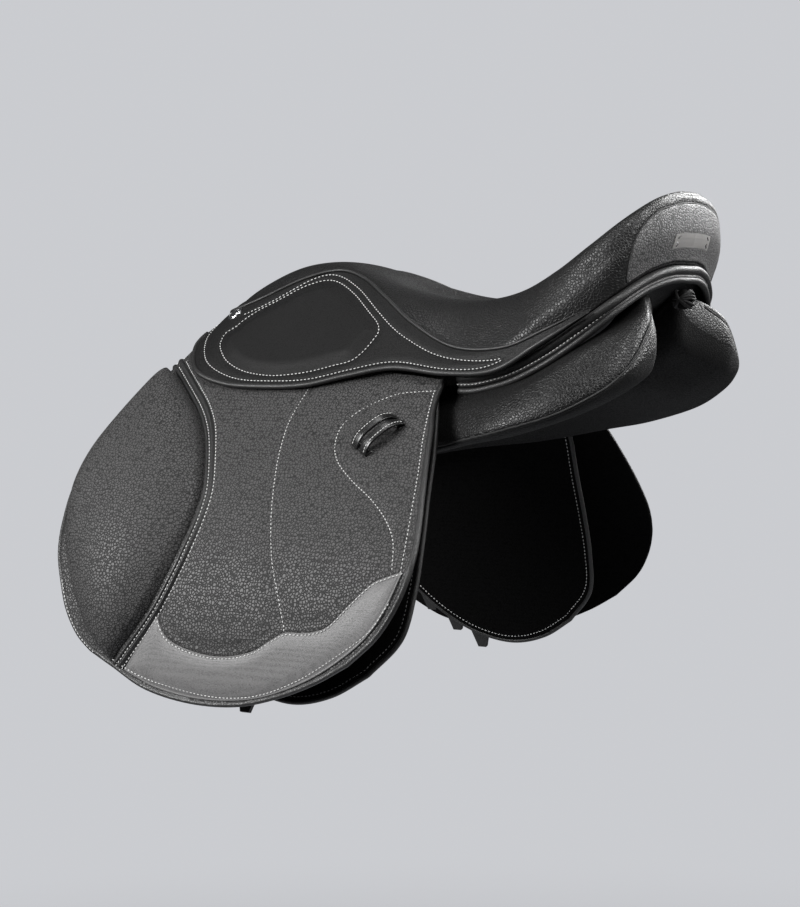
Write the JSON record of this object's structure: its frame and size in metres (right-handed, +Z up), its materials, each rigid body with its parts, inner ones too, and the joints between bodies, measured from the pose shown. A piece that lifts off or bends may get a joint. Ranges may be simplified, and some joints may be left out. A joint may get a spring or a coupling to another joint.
{
  "type": "english saddle",
  "caption": "English jumping saddle with forward flaps, padded knee blocks, skirts over stirrup bars, girth straps with buckle guards, wool panels and a high rounded cantle.",
  "frame": {"origin": "on the centre plane, on the line of the horse's spine, below the lowest part of the seat", "axes": "+X towards the cantle, -Y the near (left) side, +Z up"},
  "size_m": [0.5059, 0.55, 0.4394],
  "materials": {
    "grain_leather": "pebbled satin",
    "smooth_leather": "smooth satin",
    "strap_leather": "smooth waxed",
    "piping_leather": "pebbled",
    "webbing": "woven",
    "foam": "open cell",
    "wood": "laminated, varnished",
    "tree_steel": "black paint",
    "badge_metal": "brushed",
    "bright_steel": "polished stainless"
  },
  "bodies": {
    "saddle": {"tree_frame": "wood", "head_plate": "tree_steel", "cantle_plate": "tree_steel", "seat_web": "webbing", "cross_webs": "webbing", "seat_foam": "foam", "seat_cover": "grain_leather", "cantle_panel": "grain_leather", "seat_roll": "piping_leather", "panel_roll": "piping_leather", "channel_lining": "smooth_leather", "lacing_knot": "piping_leather", "cantle_badge": "badge_metal", "badge_pins": "bright_steel", "pommel_studs": "bright_steel", "bar_rivets": "bright_steel", "strap_rivets": "bright_steel", "stirrup_bar_left": "bright_steel", "stirrup_bar_right": "bright_steel", "dee_chape_left": "strap_leather", "dee_chape_right": "strap_leather", "skirt_top_left": "grain_leather", "skirt_top_right": "grain_leather", "flap_top_left": "grain_leather", "flap_top_right": "grain_leather", "sweat_flap_left": "smooth_leather", "sweat_flap_right": "smooth_leather", "panel_left": "smooth_leather", "panel_right": "smooth_leather", "girth_web_left": "webbing", "girth_web_right": "webbing"},
    "left_flap": {"flap_left": "grain_leather", "knee_block_left": "grain_leather", "toe_patch_left": "smooth_leather", "stirrup_keeper_left": "strap_leather"},
    "left_skirt": {"skirt_left": "grain_leather"},
    "left_strap_front": {"girth_strap_front_left": "strap_leather"},
    "left_strap_middle": {"girth_strap_middle_left": "strap_leather"},
    "left_strap_rear": {"girth_strap_rear_left": "strap_leather"},
    "left_guard": {"buckle_guard_left": "strap_leather"},
    "left_catch": {"bar_catch_left": "bright_steel"},
    "left_dee": {"dee_ring_left": "bright_steel"},
    "right_flap": {"flap_right": "grain_leather", "knee_block_right": "grain_leather", "toe_patch_right": "smooth_leather", "stirrup_keeper_right": "strap_leather"},
    "right_skirt": {"skirt_right": "grain_leather"},
    "right_strap_front": {"girth_strap_front_right": "strap_leather"},
    "right_strap_middle": {"girth_strap_middle_right": "strap_leather"},
    "right_strap_rear": {"girth_strap_rear_right": "strap_leather"},
    "right_guard": {"buckle_guard_right": "strap_leather"},
    "right_catch": {"bar_catch_right": "bright_steel"},
    "right_dee": {"dee_ring_right": "bright_steel"}
  },
  "joints": [
    {"name": "flap_left_lift", "type": "hinge", "parent": "saddle", "child": "left_flap", "pos_m": [-0.1, -0.13456, 0.02], "axis": [-1, 0, 0], "range_deg": [0, 65]},
    {"name": "skirt_left_lift", "type": "hinge", "parent": "saddle", "child": "left_skirt", "pos_m": [-0.236, -0.072, 0.072], "axis": [-0.9843, 0.164, 0.0656], "range_deg": [0, 60]},
    {"name": "strap_middle_left_swing", "type": "hinge", "parent": "saddle", "child": "left_strap_middle", "pos_m": [-0.126, -0.131, 0.005], "axis": [0, -0.9483, 0.3173], "range_deg": [-8, 8]},
    {"name": "strap_front_left_swing", "type": "hinge", "parent": "saddle", "child": "left_strap_front", "pos_m": [-0.152, -0.131, 0.005], "axis": [0, -0.9483, 0.3173], "range_deg": [-8, 8]},
    {"name": "strap_rear_left_swing", "type": "hinge", "parent": "saddle", "child": "left_strap_rear", "pos_m": [-0.1, -0.131, 0.005], "axis": [0, -0.9483, 0.3173], "range_deg": [-8, 8]},
    {"name": "guard_left_slide", "type": "slide", "parent": "left_strap_middle", "child": "left_guard", "axis": [0, 0.3173, 0.9483], "range_m": [-0.03, 0.045]},
    {"name": "bar_catch_left_turn", "type": "hinge", "parent": "saddle", "child": "left_catch", "pos_m": [-0.063, -0.074, 0.057], "axis": [0, 0, -1], "range_deg": [0, 80]},
    {"name": "dee_left_swing", "type": "hinge", "parent": "saddle", "child": "left_dee", "pos_m": [-0.221, -0.058, 0.05], "axis": [0, 1, 0], "range_deg": [-5, 70]},
    {"name": "flap_right_lift", "type": "hinge", "parent": "saddle", "child": "right_flap", "pos_m": [-0.1, 0.13456, 0.02], "axis": [1, 0, 0], "range_deg": [0, 65]},
    {"name": "skirt_right_lift", "type": "hinge", "parent": "saddle", "child": "right_skirt", "pos_m": [-0.236, 0.072, 0.072], "axis": [0.9843, 0.164, -0.0656], "range_deg": [0, 60]},
    {"name": "strap_middle_right_swing", "type": "hinge", "parent": "saddle", "child": "right_strap_middle", "pos_m": [-0.126, 0.131, 0.005], "axis": [0, 0.9483, 0.3173], "range_deg": [-8, 8]},
    {"name": "strap_front_right_swing", "type": "hinge", "parent": "saddle", "child": "right_strap_front", "pos_m": [-0.152, 0.131, 0.005], "axis": [0, 0.9483, 0.3173], "range_deg": [-8, 8]},
    {"name": "strap_rear_right_swing", "type": "hinge", "parent": "saddle", "child": "right_strap_rear", "pos_m": [-0.1, 0.131, 0.005], "axis": [0, 0.9483, 0.3173], "range_deg": [-8, 8]},
    {"name": "guard_right_slide", "type": "slide", "parent": "right_strap_middle", "child": "right_guard", "axis": [0, -0.3173, 0.9483], "range_m": [-0.03, 0.045]},
    {"name": "bar_catch_right_turn", "type": "hinge", "parent": "saddle", "child": "right_catch", "pos_m": [-0.063, 0.074, 0.057], "axis": [0, 0, 1], "range_deg": [0, 80]},
    {"name": "dee_right_swing", "type": "hinge", "parent": "saddle", "child": "right_dee", "pos_m": [-0.221, 0.058, 0.05], "axis": [0, 1, 0], "range_deg": [-5, 70]}
  ],
  "couplings": [
    {"joint": "strap_front_left_swing", "follows": "strap_middle_left_swing", "ratio": 1},
    {"joint": "strap_rear_left_swing", "follows": "strap_middle_left_swing", "ratio": 1},
    {"joint": "strap_front_right_swing", "follows": "strap_middle_right_swing", "ratio": 1},
    {"joint": "strap_rear_right_swing", "follows": "strap_middle_right_swing", "ratio": 1}
  ]
}
